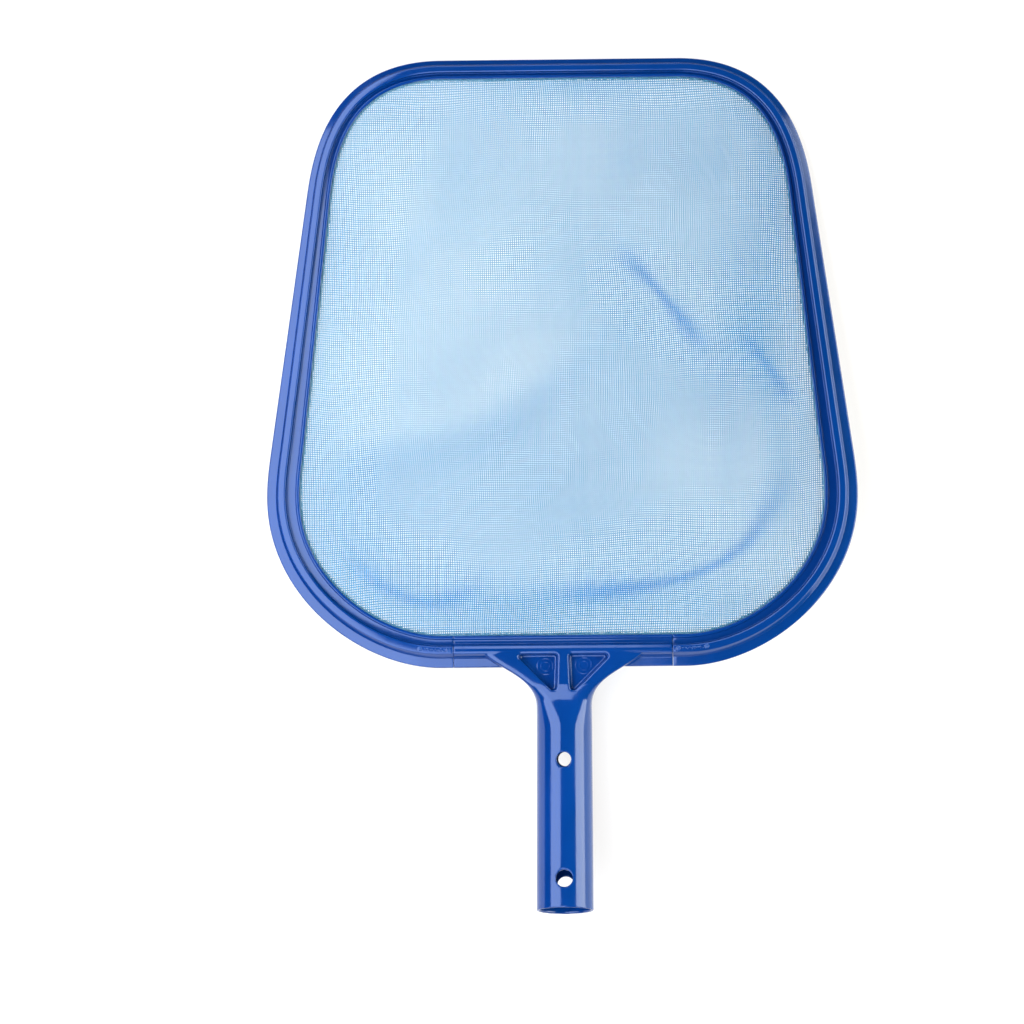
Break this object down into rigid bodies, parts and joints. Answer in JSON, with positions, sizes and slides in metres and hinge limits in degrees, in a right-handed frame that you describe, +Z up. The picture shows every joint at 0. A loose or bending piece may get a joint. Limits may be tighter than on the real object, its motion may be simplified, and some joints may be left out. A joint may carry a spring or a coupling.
{
  "type": "leaf skimmer net",
  "caption": "Flat pool leaf skimmer head: a moulded hoop with a fine woven net, closed by a yoke with a tilted tubular socket for a telescopic pole.",
  "frame": {"origin": "on the surface the skimmer lies on, under the middle of its bounding box", "axes": "+Z up; +Y from the socket towards the hoop's leading edge; +X across the hoop, which is symmetric about X = 0"},
  "size_m": [0.2904, 0.4202, 0.0476],
  "materials": {
    "frame_plastic": "glossy moulded blue polypropylene",
    "handle_plastic": "glossy moulded blue polypropylene",
    "net_fabric": "pale blue woven monofilament, open weave",
    "tape_fabric": "doubled net, welded flat",
    "spline_plastic": "satin extruded blue strip"
  },
  "bodies": {
    "root": {"hoop_frame": "frame_plastic", "handle_yoke": "handle_plastic", "mesh_net": "net_fabric", "net_edge_tape": "tape_fabric", "net_spline": "spline_plastic"}
  },
  "joints": []
}
